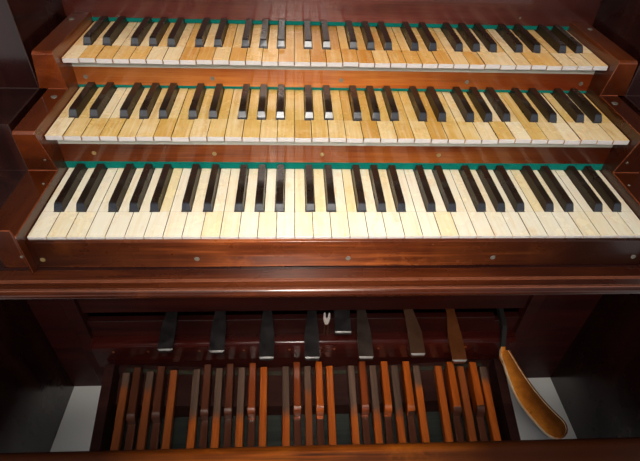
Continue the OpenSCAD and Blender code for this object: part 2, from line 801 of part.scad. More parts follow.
module swell_pedal() {
    h = swell_stem_h / 2;
    plate_top = swell_z - shaft_z;
    under = plate_top - swell_plate_t;
    rib_len = swell_plate_len * 0.25;
    plate_y = swell_end_y + swell_stem_h * 0.7;
    hub_w = 2.4 * swell_stem_t;
    color("#8a5a28") at_floor() translate([pedal_x + swell_x, shaft_y, shaft_z])
        difference() {
            union() {
                run(-swell_stem_t / 2, swell_stem_t / 2) polygon([
                    [h, h], [h, -h], [0, -h * 1.2], [swell_bend_y, -swell_fall - h],
                    [swell_end_y, under - h], [swell_end_y - rib_len, under],
                    [swell_end_y, under + swell_plate_t / 2],
                    [swell_bend_y, h - swell_fall]]);
                translate([0, plate_y, under])
                    linear_extrude(swell_plate_t) swell_plate(0);
                hub(hub_w);
            }
            translate([0, plate_y, plate_top - swell_rim_h])
                linear_extrude(swell_plate_t) swell_plate(swell_rim_w);
            hub_bore(hub_w);
        }
}

// Places its children at the nose of the pedal that lies at this place along the board
function pedal_angle(place) = (place - 8) * pedal_pitch / spread_r * 180 / PI;
function pedal_tilt(place) = asin(spread_r * sin(pedal_angle(place)) / hollow_r);
function pedal_lift(place) = hollow_r * (1 - cos(pedal_tilt(place)));

module at_pedal(place, tilted = true) {
    a = pedal_angle(place);
    translate([pedal_x + spread_r * sin(a), front_y + nose_y - spread_r * (1 - cos(a)),
               pedal_z + pedal_lift(place)])
        rotate([0, 0, -a]) rotate([0, tilted ? -pedal_tilt(place) : 0, 0]) children();
}

// Section of a pedal key with its two upper edges rounded
module pedal_section(top, low) {
    r = pedal_round;
    w = pedal_w;
    translate([-w / 2, low]) square([w, top - r - low]);
    translate([r - w / 2, top - r - eps]) square([w - 2 * r, r + eps]);
    for (s = [-1, 1]) translate([s * (w / 2 - r), top - r]) circle(r);
}

module pedal_natural() {
    run_back(-heel_len, toe_len) pedal_section(0, -pedal_h);
}

// Pedal sharp: a low bar with a raised block whose curved nose leads up to its top
module pedal_sharp() {
    foot = -pedal_sharp_drop - pedal_round;
    nose_foot = pedal_sharp_h * 0.4;
    run_back(-heel_len, toe_len) pedal_section(-pedal_sharp_drop, -pedal_h);
    intersection() {
        run(-pedal_w / 2, pedal_w / 2) polygon(concat(
            [[0, foot]], quarter(0, nose_foot, pedal_nose, pedal_sharp_h - nose_foot),
            [[toe_len, pedal_sharp_h], [toe_len, foot]]));
        run_back(0, toe_len) pedal_section(pedal_sharp_h, -pedal_h);
    }
}

module pedal_key(i) {
    place = note_place(i);
    color(is_sharp(i) ? "#5a2414" : "#a8571f") at_pedal(place) {
        if (is_sharp(i)) pedal_sharp();
        else pedal_natural();
    }
}

// Half the width of the pedal frame, to the middle of its side boards, at a depth y
side_place = 8.7;
function frame_half(y) = (y - nose_y + spread_r) * tan(pedal_angle(8 + side_place));

// Pads: the heel ends rest on one, and the far ends come down on the other
heel_pad_y = [heel_pad_inset - heel_len, heel_pad_inset + pad_len - heel_len];
toe_pad_y = [toe_len - toe_pad_inset - pad_len, toe_len - toe_pad_inset];
heel_pad_z = -pedal_h - seat_gap;
toe_pad_z = -pedal_h - seat_gap - sin(pedal_travel) * (toe_pad_y[1] - heel_pad_y[1]);
pad_sink = 1.5;

// Beam across the frame whose top follows the hollow of the keys above its middle
module beam(y0, y1, pad_z) {
    foot = 2;
    mid = (y0 + y1) / 2;
    half = frame_half(mid);
    steps = 18;
    r = hollow_r * pow((mid - nose_y + spread_r) / spread_r, 2);
    top = pedal_z + pad_z - pad_t + pad_sink;
    translate([pedal_x, 0, 0]) run_back(y0, y1) polygon(concat(
        [[-half, foot]],
        [for (i = [-steps : steps]) [half * i / steps,
            top + r * (1 - cos(asin(half * i / steps / r)))]],
        [[half, foot]]));
}

module pads(span, pad_z) {
    for (i = [0 : pedal_count - 1]) at_pedal(note_place(i))
        block([-pedal_w / 2, span[0], pad_z - pad_t], [pedal_w / 2, span[1], pad_z]);
}

module frame_side(s) {
    place = 8 + s * side_place;
    top = pedal_lift(16) + frame_side_rise;
    at_pedal(place, false) block(
        [-frame_side_t / 2, -heel_len - frame_heel_reach, -pedal_z - pedal_lift(place)],
        [frame_side_t / 2, toe_len + frame_toe_reach, top - pedal_lift(place)]);
}

module pedal_frame() {
    heel_y = nose_y + heel_pad_y[0] - heel_pad_inset;
    heel_beam = [heel_y - beam_d / 2, heel_y + beam_d / 2];
    toe_beam = [nose_y + toe_len - beam_d, knee_y];
    color("#4a2a16") {
        for (s = [-1, 1]) frame_side(s);
        at_floor() {
            beam(heel_beam[0], heel_beam[1], heel_pad_z);
            beam(toe_beam[0], toe_beam[1], toe_pad_z);
            translate([pedal_x, 0, base_board_z]) linear_extrude(base_board_t) polygon([
                [-frame_half(heel_beam[1]), heel_beam[1] - 1],
                [frame_half(heel_beam[1]), heel_beam[1] - 1],
                [frame_half(toe_beam[0]), toe_beam[0] + 1],
                [-frame_half(toe_beam[0]), toe_beam[0] + 1]]);
        }
        pads(heel_pad_y, heel_pad_z);
        pads(toe_pad_y, toe_pad_z);
    }
}

module bench_seat() {
    y1 = -bench_gap;
    y0 = y1 - bench_d;
    r = seat_t / 2;
    color("#6b3614") at_floor() translate([pedal_x, 0, 0]) run(-bench_w / 2, bench_w / 2) {
        translate([y0 + r, bench_h - seat_t]) square([bench_d - 2 * r, seat_t]);
        for (y = [y0 + r, y1 - r]) translate([y, bench_h - r]) circle(r);
    }
}

// Bench ends with a round arch between their feet, and the rail that joins them
module bench_frame() {
    y1 = -bench_gap - bench_end_inset;
    y0 = -bench_gap - bench_d + bench_end_inset;
    top = bench_h - seat_t;
    x1 = bench_w / 2 - bench_inset;
    x0 = x1 - bench_end_t;
    rail_y = y0 + stretcher_inset;
    rail_top = top - stretcher_drop;
    color("#5a2c12") at_floor() translate([pedal_x, 0, 0]) {
        both_sides() difference() {
            block([x0, y0, 0], [x1, y1, top]);
            block([x0 - 1, y0 + bench_foot_w, -1], [x1 + 1, y1 - bench_foot_w, bench_foot_h]);
            translate([x0 - 1, (y0 + y1) / 2, bench_foot_h]) rotate([0, 90, 0])
                cylinder(r = (y1 - y0) / 2 - bench_foot_w, h = bench_end_t + 2);
        }
        block([-x0 - eps, rail_y, rail_top - stretcher_h],
              [x0 + eps, rail_y + stretcher_t, rail_top]);
    }
}

case_sides();
back_panel();
case_top();
name_board();
key_bed();
front_rail();
key_slips();
key_cheeks();
key_frames();
lower_naturals();
lower_sharps();
middle_naturals();
middle_sharps();
upper_naturals();
upper_sharps();
felt_strips();
kneeboard();
toe_rail();
lever_shaft();
pedal_frame();
bench_seat();
bench_frame();
short_lever();
swell_pedal();
for (i = [0 : lever_count - 1])
    composition_pedal(i);
for (i = [0 : pedal_count - 1])
    pedal_key(i);
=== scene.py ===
"""Dresses the organ console: polished mahogany, aged ivory and ebony keys, felt, iron and bronze levers."""
import math
import random

import bmesh
import bpy
from mathutils import Matrix, Vector
from mathutils.bvhtree import BVHTree


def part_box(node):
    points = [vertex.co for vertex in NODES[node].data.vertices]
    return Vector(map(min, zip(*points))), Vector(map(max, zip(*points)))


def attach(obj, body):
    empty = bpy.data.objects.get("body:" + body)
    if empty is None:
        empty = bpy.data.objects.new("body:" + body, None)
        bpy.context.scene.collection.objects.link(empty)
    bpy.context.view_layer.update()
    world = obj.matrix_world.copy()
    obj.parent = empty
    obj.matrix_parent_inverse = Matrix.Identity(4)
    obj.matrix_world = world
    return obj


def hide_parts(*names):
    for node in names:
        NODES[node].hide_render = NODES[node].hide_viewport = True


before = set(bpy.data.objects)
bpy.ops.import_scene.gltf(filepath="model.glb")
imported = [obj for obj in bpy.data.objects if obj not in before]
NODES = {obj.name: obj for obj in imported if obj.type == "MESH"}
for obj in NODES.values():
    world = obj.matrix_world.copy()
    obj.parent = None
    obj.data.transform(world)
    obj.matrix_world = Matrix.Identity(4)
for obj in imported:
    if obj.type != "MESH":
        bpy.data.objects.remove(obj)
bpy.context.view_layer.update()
MM = 0.001

# Places taken from the frame
KEYS_LOW, KEYS_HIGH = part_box("lower_naturals")
KEY_FRONT = KEYS_LOW.y
KEY_TOP = KEYS_HIGH.z
SIDE_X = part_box("case_sides")[1].x

# Sizes of the solids that the looks follow, in metres
NEAR = 0.0005
NATURAL_PITCH = 0.0235
HEAD_LEN = 0.050
PLATE_T = 0.0035
UPPER_SLIP_LOW = KEY_TOP + 0.055
PEDAL_X = -1.5 * NATURAL_PITCH
PEDAL_NOSE = KEY_FRONT + 0.170
PEDAL_BOARD_TOP = 0.034
PEDAL_BOARD_REACH = 0.47
SWELL_TOP = 0.247
SIDE_PANEL_DEPTH = 0.011
BACK_PANEL_DEPTH = 0.005
KNEE_PANEL_DEPTH = 0.017
PANEL_SINK = 0.005
WELD = 0.00002

# Camera, measured from the front of the lower keys and their tops
CAMERA_PLACE = Vector((-70.5, -455.3, 414.4)) * MM
CAMERA_YAW = 3.98
CAMERA_PITCH = 41.54
CAMERA_ROLL = 2.52
FOCAL_PIXELS = 486.5
PHOTO_WIDTH = 640


def place_camera():
    """Puts the camera where the photograph was taken from, over the bench."""
    yaw, pitch, roll = (math.radians(a) for a in (CAMERA_YAW, CAMERA_PITCH, CAMERA_ROLL))
    forward = Vector((math.sin(yaw) * math.cos(pitch), math.cos(yaw) * math.cos(pitch), -math.sin(pitch)))
    level_right = Vector((math.cos(yaw), -math.sin(yaw), 0))
    level_up = level_right.cross(forward)
    right = level_right * math.cos(roll) + level_up * math.sin(roll)
    up = level_up * math.cos(roll) - level_right * math.sin(roll)
    data = bpy.data.cameras.new("camera")
    data.sensor_width = 36
    data.lens = FOCAL_PIXELS * data.sensor_width / PHOTO_WIDTH
    data.clip_start = 0.01
    data.clip_end = 50
    camera = bpy.data.objects.new("camera", data)
    camera.matrix_world = Matrix((
        (right.x, up.x, -forward.x, CAMERA_PLACE.x),
        (right.y, up.y, -forward.y, CAMERA_PLACE.y + KEY_FRONT),
        (right.z, up.z, -forward.z, CAMERA_PLACE.z + KEY_TOP),
        (0, 0, 0, 1)))
    bpy.context.collection.objects.link(camera)
    bpy.context.scene.camera = camera


def area_light(name, place, aim, size, power, colour, spread=180, length=None):
    """A soft lamp at a place, turned to face a point. A smaller spread narrows its beam."""
    data = bpy.data.lights.new(name, "AREA")
    data.shape = "RECTANGLE"
    data.size = size
    data.size_y = length or size
    data.energy = power
    data.color = colour
    data.spread = math.radians(spread)
    lamp = bpy.data.objects.new(name, data)
    lamp.location = place
    lamp.rotation_euler = (Vector(aim) - Vector(place)).to_track_quat("-Z", "Y").to_euler()
    bpy.context.collection.objects.link(lamp)


class Material:
    """A node material with a few short ways to add and join nodes."""

    def __init__(self, name):
        self.material = bpy.data.materials.new(name)
        self.material.use_nodes = True
        self.tree = self.material.node_tree
        self.shader = self.tree.nodes["Principled BSDF"]

    def add(self, kind, **settings):
        node = self.tree.nodes.new(kind)
        for key, value in settings.items():
            setattr(node, key, value)
        return node

    def feed(self, socket, value):
        """Joins a socket to a value, which is another socket, a number or a tuple."""
        if isinstance(value, bpy.types.NodeSocket):
            self.tree.links.new(value, socket)
        else:
            socket.default_value = value

    def place(self):
        return self.add("ShaderNodeTexCoord").outputs["Object"]

    def normal(self):
        return self.add("ShaderNodeTexCoord").outputs["Normal"]

    def attribute(self, name):
        return self.add("ShaderNodeAttribute", attribute_name=name).outputs["Fac"]

    def stretched(self, scale, place=None):
        """Object coordinates scaled by three factors, one per axis."""
        node = self.add("ShaderNodeMapping")
        self.feed(node.inputs["Vector"], place or self.place())
        node.inputs["Scale"].default_value = scale
        return node.outputs["Vector"]

    def noise(self, vector, scale=1.0, detail=4.0, rough=0.5, distort=0.0):
        node = self.add("ShaderNodeTexNoise")
        self.feed(node.inputs["Vector"], vector)
        node.inputs["Scale"].default_value = scale
        node.inputs["Detail"].default_value = detail
        node.inputs["Roughness"].default_value = rough
        node.inputs["Distortion"].default_value = distort
        return node.outputs["Fac"]

    def math(self, operation, a, b=0.0, clamp=False):
        node = self.add("ShaderNodeMath", operation=operation, use_clamp=clamp)
        self.feed(node.inputs[0], a)
        self.feed(node.inputs[1], b)
        return node.outputs[0]

    def times(self, a, b):
        return self.math("MULTIPLY", a, b)

    def plus(self, a, b):
        return self.math("ADD", a, b)

    def minus(self, a, b):
        return self.math("SUBTRACT", a, b)

    def larger(self, a, b):
        return self.math("MAXIMUM", a, b)

    def above(self, a, limit):
        """One where a value is over a limit, and nothing elsewhere."""
        return self.math("GREATER_THAN", a, limit)

    def below(self, a, limit):
        """One where a value is under a limit, and nothing elsewhere."""
        return self.math("LESS_THAN", a, limit)

    def size(self, a):
        """A value without its sign."""
        return self.math("ABSOLUTE", a)

    def ramp(self, factor, *stops):
        """A colour ramp through (position, colour) stops."""
        node = self.add("ShaderNodeValToRGB")
        self.feed(node.inputs["Fac"], factor)
        elements = node.color_ramp.elements
        while len(elements) < len(stops):
            elements.new(0.5)
        for element, (position, colour) in zip(elements, stops):
            element.position = position
            element.color = (*colour, 1)
        return node.outputs["Color"]

    def spread(self, factor, low, high, out_low=0.0, out_high=1.0):
        """Maps low to high onto out_low to out_high, and holds it there."""
        node = self.add("ShaderNodeMapRange")
        self.feed(node.inputs["Value"], factor)
        node.inputs["From Min"].default_value = low
        node.inputs["From Max"].default_value = high
        node.inputs["To Min"].default_value = out_low
        node.inputs["To Max"].default_value = out_high
        return node.outputs["Result"]

    def mix(self, factor, a, b):
        """Blends two colours, from a at nothing to b at one."""
        node = self.add("ShaderNodeMix", data_type="RGBA")
        self.feed(node.inputs[0], factor)
        for socket, value in ((node.inputs[6], a), (node.inputs[7], b)):
            self.feed(socket, (*value, 1) if isinstance(value, tuple) and len(value) == 3 else value)
        return node.outputs[2]

    def axis(self, letter, place=None):
        node = self.add("ShaderNodeSeparateXYZ")
        self.feed(node.inputs[0], place or self.place())
        return node.outputs[letter]

    def bump(self, height, strength, distance, under=None):
        node = self.add("ShaderNodeBump")
        self.feed(node.inputs["Height"], height)
        node.inputs["Strength"].default_value = strength
        node.inputs["Distance"].default_value = distance
        if under:
            self.feed(node.inputs["Normal"], under)
        return node.outputs["Normal"]

    def finish(self, colour, rough, normal=None, **extra):
        """Feeds the shader and returns the material. Extra names shader sockets with fixed values."""
        self.feed(self.shader.inputs["Base Color"], (*colour, 1) if isinstance(colour, tuple) else colour)
        self.feed(self.shader.inputs["Roughness"], rough)
        if normal:
            self.feed(self.shader.inputs["Normal"], normal)
        for key, value in extra.items():
            self.shader.inputs[key.replace("_", " ")].default_value = value
        return self.material


def wood(name, dark, mid, light, along, rough=0.3, coat=0.5, ring=1.0, seed=0.0, wear=0.0, ribbon=0.2,
         ripple=0.0, ends=0.0, gloss=0.12, reach=(0.18, 0.50), shade=None):
    """Polished wood with its grain running along one axis: broad figure, ribbons, fibres and pores.
    Ends paints shade on a board, darker towards both ends from the nearer reach to the further: a painted
    falloff of light away from the middle of its length.
    Ring scales the figure, seed moves it, wear lays light patches and ripple makes the polish wavy. A shade
    darkens chosen places."""
    m = Material(name)
    axis = "XYZ".index(along)

    def across(lot, run):
        factors = [lot] * 3
        factors[axis] = run
        return factors

    shifted = m.add("ShaderNodeVectorMath", operation="ADD")
    m.feed(shifted.inputs[0], m.place())
    shifted.inputs[1].default_value = (seed, seed * 0.7, seed * 1.3)
    place = shifted.outputs[0]
    figure = m.noise(m.stretched(across(14.0 * ring, 0.9 * ring), place), 1.0, 3.0, 0.55, 1.6)
    fibre = m.noise(m.stretched(across(420.0, 9.0), place), 1.0, 3.0, 0.6)
    pore = m.noise(m.stretched(across(1100.0, 40.0), place), 1.0, 2.0, 0.5)
    band = m.noise(m.stretched(across(3.0, 16.0), place), 1.0, 2.0, 0.5, 0.6)
    patch = m.noise(place, 2.2, 2.0)
    grain = m.plus(m.times(figure, 0.7), m.times(fibre, 0.3))
    colour = m.ramp(grain, (0.32, dark), (0.5, mid), (0.68, light))
    colour = m.mix(m.spread(band, 0.45, 0.75, 0.0, ribbon), colour, light)
    colour = m.mix(m.spread(patch, 0.35, 0.75, 0.0, 0.4), colour, dark)
    colour = m.mix(m.spread(pore, 0.62, 0.75, 0.0, 0.55), colour, dark)
    if wear:
        worn = m.spread(m.noise(place, 9.0, 6.0, 0.65), 0.55, 0.72, 0.0, wear)
        colour = m.mix(worn, colour, light)
    # Painted shade: darker towards the board's ends, a painted falloff of light.
    if ends:
        off_middle = m.size(m.plus(m.axis("X"), m.times(patch, 0.12)))
        colour = m.mix(m.spread(off_middle, *reach, 0.0, ends), colour, dark)
    # Painted shade from a shade function, mixed towards a deep tone of the dark wood.
    if shade:
        colour = m.mix(shade(m), colour, tuple(c * 0.25 for c in dark))
    smudge = m.noise(place, 6.0, 5.0, 0.6)
    roughness = m.spread(smudge, 0.3, 0.75, rough * 0.7, rough * 1.5)
    normal = m.bump(fibre, 0.12, 0.0004)
    if ripple:
        waves = m.noise(m.stretched(across(95.0, 1.4), place), 1.0, 3.0, 0.6)
        normal = m.bump(waves, ripple, 0.0012, normal)
    return m.finish(colour, roughness, normal, Coat_Weight=coat, Coat_Roughness=gloss,
                    Specular_IOR_Level=0.25)


def rail_painted_shade(m):
    """Painted shade: darkens the rail's flat top a little."""
    up = m.axis("Z", m.normal())
    return m.spread(up, 0.8, 0.98, 0.0, 0.1)


def cheek_painted_shade(m):
    """Painted shade: darkens the cheeks' tops, the lowest pair, and all but the highest on the right."""
    place = m.place()
    height = m.axis("Z", place)
    top = m.above(m.axis("Z", m.normal()), 0.8)
    low = m.spread(height, KEY_TOP + 0.035, KEY_TOP + 0.060, 0.72, 0.0)
    right = m.times(m.above(m.axis("X", place), 0.0),
                    m.spread(height, KEY_TOP + 0.09, KEY_TOP + 0.14, 0.82, 0.4))
    return m.larger(m.times(top, 0.42), m.larger(low, right))


def plain(name, colour, rough, **extra):
    """One colour with a little cloudy change in it, for small pieces and for edges that are lighter with
    wear and a painted highlight.
    """
    m = Material(name)
    cloud = m.noise(m.place(), 70.0, 4.0, 0.6)
    darker = tuple(c * 0.75 for c in colour)
    tone = m.mix(m.spread(cloud, 0.3, 0.7), darker, colour)
    return m.finish(tone, m.spread(cloud, 0.3, 0.7, rough * 0.8, rough * 1.25), **extra)


def ivory_stains(m, place, is_tail, cloud, grain, tones, stain):
    """Colour of old ivory: a tone for each head and tail, then blotches, dirt, grain and streaks."""
    pale, yellow, orange = tones
    key_tone = m.add("ShaderNodeMix", data_type="FLOAT")
    m.feed(key_tone.inputs[0], is_tail)
    m.feed(key_tone.inputs[2], m.attribute("head"))
    m.feed(key_tone.inputs[3], m.attribute("tail"))
    level = m.math("ADD", key_tone.outputs[0], m.times(m.minus(cloud, 0.5), 0.5), clamp=True)
    colour = m.ramp(level, (0.0, pale), (0.5, yellow), (1.0, orange))
    blotch = m.noise(m.stretched((70.0, 26.0, 60.0), place), 1.0, 5.0, 0.65)
    colour = m.mix(m.spread(blotch, 0.56, 0.74, 0.0, 0.5), colour, orange)
    dirt = m.noise(m.stretched((120.0, 16.0, 60.0), place), 1.0, 6.0, 0.7)
    colour = m.mix(m.spread(dirt, 0.54, 0.74, 0.0, stain), colour, (0.40, 0.19, 0.05))
    colour = m.mix(m.spread(grain, 0.45, 0.8, 0.0, 0.16), colour, orange)
    streak = m.noise(m.stretched((240.0, 9.0, 60.0), place), 1.0, 4.0, 0.6)
    colour = m.mix(m.spread(streak, 0.5, 0.75, 0.0, 0.3), colour, orange)
    return m.mix(m.spread(streak, 0.5, 0.28, 0.0, 0.4), colour, pale)


def ivory(name, front, top, tones, stain):
    """Aged ivory plates on wooden keys, more or less stained, with painted shade that greys their front
    faces and darkens the flanks in the gaps between them.
    """
    m = Material(name)
    place = m.place()
    depth = m.axis("Y", place)
    joint_y = front + HEAD_LEN
    cloud = m.noise(place, 30.0, 4.0, 0.6)
    grain = m.noise(m.stretched((800.0, 20.0, 300.0), place), 1.0, 3.0, 0.5)
    colour = ivory_stains(m, place, m.above(depth, joint_y), cloud, grain, tones, stain)
    for line_y, half_width, strength, tone in ((joint_y, 0.00035, 0.3, (0.30, 0.16, 0.06)),
                                               (front + 0.0022, 0.0003, 0.25, (0.35, 0.20, 0.08))):
        line = m.below(m.size(m.minus(depth, line_y)), half_width)
        colour = m.mix(m.times(line, strength), colour, tone)
    # Painted shade: the front faces of the keys are painted grey.
    painted_lip_shade = m.below(depth, front + 0.0003)
    colour = m.mix(painted_lip_shade, colour, (0.50, 0.465, 0.455))
    sideways = m.size(m.axis("X", m.normal()))
    rounded = m.times(m.above(sideways, 0.25), min(1.0, stain + 0.25))
    colour = m.mix(rounded, colour, (0.30, 0.14, 0.04))
    # Painted shade: the flanks in the gaps between keys are painted near black.
    painted_gap_shade = m.times(m.above(sideways, 0.8), m.above(depth, front + 0.004))
    colour = m.mix(painted_gap_shade, colour, (0.12, 0.058, 0.022))
    timber = m.times(m.below(m.axis("Z", place), top - PLATE_T), m.above(depth, front + 0.0015))
    colour = m.mix(timber, colour, (0.10, 0.060, 0.030))
    return m.finish(colour, m.spread(cloud, 0.3, 0.7, 0.16, 0.34), m.bump(grain, 0.05, 0.0002),
                    Coat_Weight=0.25, Coat_Roughness=0.1, Subsurface_Weight=0.06)


def ebony():
    """Ebony with browner flanks, a polished top, and a bluish painted reflection on the sloping noses."""
    m = Material("ebony_polished")
    place = m.place()
    tone = m.attribute("head")
    fibre = m.noise(m.stretched((700.0, 16.0, 700.0), place), 1.0, 4.0, 0.6)
    cloud = m.noise(place, 30.0, 4.0)
    colour = m.ramp(fibre, (0.35, (0.004, 0.003, 0.0025)), (0.75, (0.026, 0.015, 0.010)))
    colour = m.mix(m.times(tone, 0.45), colour, (0.026, 0.013, 0.008))
    normal = m.normal()
    flank = m.spread(m.size(m.axis("X", normal)), 0.6, 0.95)
    colour = m.mix(m.times(flank, 0.8), colour, (0.020, 0.011, 0.005))
    m.feed(m.shader.inputs["Coat Weight"], m.spread(flank, 0.0, 1.0, 0.6, 0.05))
    # Painted reflection: forward-facing slopes of the noses are tinted bluish.
    painted_nose_sheen = m.spread(m.axis("Y", normal), -0.25, -0.5, 0.0, 0.7)
    colour = m.mix(painted_nose_sheen, colour, (0.026, 0.032, 0.045))
    return m.finish(colour, m.spread(cloud, 0.3, 0.7, 0.22, 0.4), m.bump(fibre, 0.08, 0.0003),
                    Coat_Roughness=0.13, Specular_IOR_Level=0.2)


def felt(name, dark, light):
    """Woollen felt, matt and fuzzy."""
    m = Material(name)
    place = m.place()
    fuzz = m.noise(place, 900.0, 4.0, 0.7)
    cloud = m.noise(place, 60.0, 3.0)
    colour = m.mix(m.times(cloud, fuzz), dark, light)
    return m.finish(colour, 0.95, m.bump(fuzz, 0.6, 0.0008), Specular_IOR_Level=0.1)


def iron(name, dark, light, rough, metallic):
    """Worn iron, cloudy and finely scratched, rubbed pale on the rounded edges that look to the player,
    where a painted highlight is laid on too.
    """
    m = Material(name)
    place = m.place()
    cloud = m.noise(place, 40.0, 6.0, 0.65)
    scratch = m.noise(m.stretched((500.0, 60.0, 500.0), place), 1.0, 3.0)
    colour = m.mix(m.spread(cloud, 0.35, 0.7, 0.0, 0.5), dark, light)
    normal = m.normal()
    # Edges facing the player and upwards: rubbed pale by feet, and a painted highlight as well.
    edge = m.times(m.below(m.axis("Y", normal), -0.45), m.above(m.axis("Z", normal), 0.2))
    colour = m.mix(m.times(edge, m.spread(cloud, 0.36, 0.5, 0.3, 1.0)), colour, STEEL_LIP_WEAR_AND_HIGHLIGHT)
    roughness = m.spread(m.plus(cloud, m.times(scratch, 0.3)), 0.4, 0.9, rough * 0.7, rough * 1.5)
    return m.finish(colour, roughness, m.bump(scratch, 0.08, 0.0003), Metallic=metallic)


def pedal_oak(name, border, seed, dull):
    """Pedal wood: orange varnish near the heels, trodden bare and grey-brown beyond a ragged border."""
    m = Material(name)
    place = m.place()
    fibre = m.noise(m.stretched((380.0, 7.0, 380.0), place), 1.0, 4.0, 0.6)
    figure = m.noise(m.stretched((46.0, 2.4, 46.0), place), 1.0 + 0.1 * seed, 3.0, 0.6, 0.8)
    cloud = m.noise(place, 16.0 + seed, 5.0, 0.65)
    grain = m.plus(m.times(figure, 0.6), m.times(fibre, 0.4))
    fresh = m.ramp(grain, (0.3, (0.24, 0.040, 0.006)), (0.5, (0.52, 0.110, 0.014)),
                   (0.7, (0.72, 0.20, 0.032)))
    fresh = m.mix(dull, fresh, (0.15, 0.050, 0.022))
    bare = m.ramp(grain, (0.3, (0.055, 0.030, 0.020)), (0.5, (0.12, 0.066, 0.044)),
                  (0.7, (0.23, 0.13, 0.085)))
    reach = m.plus(m.axis("Y", place), m.times(cloud, 0.09))
    worn = m.spread(reach, border, border + 0.03)
    colour = m.mix(worn, fresh, bare)
    return m.finish(colour, m.spread(worn, 0.0, 1.0, 0.32, 0.55), m.bump(fibre, 0.15, 0.0005))


def pedal_cap(name, low_tone, high_tone, step):
    """Wood of a pedal sharp: a dark low bar and a redder, polished block above it."""
    m = Material(name)
    place = m.place()
    fibre = m.noise(m.stretched((420.0, 9.0, 420.0), place), 1.0, 4.0, 0.6)
    figure = m.noise(m.stretched((40.0, 3.0, 40.0), place), 1.0, 3.0, 0.6, 0.8)
    grain = m.plus(m.times(figure, 0.6), m.times(fibre, 0.4))
    block = m.ramp(grain, (0.3, tuple(c * 0.45 for c in high_tone)), (0.65, high_tone))
    bar = m.ramp(grain, (0.3, tuple(c * 0.4 for c in low_tone)), (0.65, low_tone))
    raised = m.above(m.axis("Y", place), step)
    colour = m.mix(raised, bar, block)
    return m.finish(colour, 0.3, m.bump(fibre, 0.1, 0.0004), Coat_Weight=0.15, Coat_Roughness=0.12)


def swell_metal(edge_x, stem_y, rim_z, foot_y):
    """Browned brass plate, bright along its left edge, where the left-facing faces also get a painted
    highlight, with painted shade on its right-facing faces; dimpled near its foot, on a dark iron stem.
    """
    m = Material("swell_brass")
    place = m.place()
    depth = m.axis("Y", place)
    cloud = m.noise(place, 40.0, 6.0, 0.65)
    scratch = m.noise(m.stretched((500.0, 60.0, 500.0), place), 1.0, 3.0)
    # The plate's left edge bows away from the stem over its foot
    bow = m.times(m.larger(m.minus(foot_y + 0.063, depth), 0.0), 0.42)
    inward = m.minus(m.minus(m.axis("X", place), edge_x), bow)
    shine = m.plus(m.spread(inward, 0.004, 0.05, 1.0, 0.0), m.spread(cloud, 0.3, 0.7, -0.2, 0.2))
    colour = m.ramp(shine, (0.0, (0.16, 0.046, 0.008)), (0.5, (0.42, 0.120, 0.014)),
                    (1.0, (0.90, 0.30, 0.034)))
    raised = m.above(m.axis("Z", place), rim_z)
    facing = m.axis("X", m.normal())
    left = m.larger(m.spread(facing, -0.12, -0.4), m.spread(inward, 0.0042, 0.0022))
    # The left edge: rubbed bright, and a painted highlight on its left-facing faces.
    worn_rim_and_highlight = m.times(m.times(left, raised), m.spread(cloud, 0.3, 0.5, 0.55, 1.0))
    colour = m.mix(worn_rim_and_highlight, colour, (1.0, 0.82, 0.55))
    # Painted shade: faces turned to the right are darkened.
    colour = m.mix(m.times(m.spread(facing, 0.12, 0.4), 0.7), colour, (0.07, 0.022, 0.006))
    stem = m.above(depth, stem_y)
    colour = m.mix(stem, colour, (0.022, 0.020, 0.018))
    dots = m.add("ShaderNodeTexVoronoi", feature="F1")
    m.feed(dots.inputs["Vector"], place)
    dots.inputs["Scale"].default_value = 210.0
    dimple = m.times(m.spread(dots.outputs["Distance"], 0.12, 0.32, 1.0, 0.0),
                     m.below(m.size(m.minus(depth, foot_y)), 0.026))
    # The dimples end on a slanting line short of the right edge
    beside = m.plus(m.axis("X", place), m.times(depth, 0.535))
    dimple = m.times(dimple, m.below(beside, 0.502))
    relief = m.minus(m.times(scratch, 0.15), dimple)
    roughness = m.spread(cloud, 0.3, 0.8, 0.26, 0.46)
    return m.finish(colour, roughness, m.bump(relief, 0.35, 0.0008), Metallic=0.3)


def floor_stage():
    """A pale floor. Away from the console it glows where it is looked at or mirrored."""
    bpy.ops.mesh.primitive_plane_add(size=30, location=(0, 0, 0))
    floor = bpy.context.object
    floor.name = "floor"
    m = Material("pale_floor")
    away = m.add("ShaderNodeVectorMath", operation="LENGTH")
    m.feed(away.inputs[0], m.place())
    rays = m.add("ShaderNodeLightPath").outputs
    seen = m.larger(rays["Is Camera Ray"], m.larger(rays["Is Glossy Ray"], rays["Is Transmission Ray"]))
    glow = m.times(seen, m.spread(away.outputs["Value"], 0.9, 3.2, 0.0, 0.62))
    m.feed(m.shader.inputs["Emission Strength"], glow)
    m.shader.inputs["Emission Color"].default_value = (1.0, 0.99, 0.97, 1)
    m.finish((0.78, 0.77, 0.75), 0.7)
    floor.data.materials.append(m.material)


def dress(node, *materials):
    """Gives a CAD node its material and, where more are named, one for its rounded edges and so on."""
    data = NODES[node].data
    data.materials.clear()
    for material in materials:
        data.materials.append(material)


def dress_part(node, index, belongs):
    """Moves those faces of a node whose middle belongs to another part to its material of this index."""
    obj = NODES[node]
    for face in obj.data.polygons:
        if belongs(obj.matrix_world @ face.center):
            face.material_index = index


def soften(obj, width):
    """Rounds an object's sharp edges, in its second material where it has one."""
    weld = obj.modifiers.new("weld", "WELD")
    weld.merge_threshold = WELD
    bevel = obj.modifiers.new("bevel", "BEVEL")
    bevel.width = width
    bevel.segments = 2
    bevel.limit_method = "ANGLE"
    bevel.angle_limit = math.radians(35)
    if len(obj.data.materials) > 1:
        bevel.material = 1


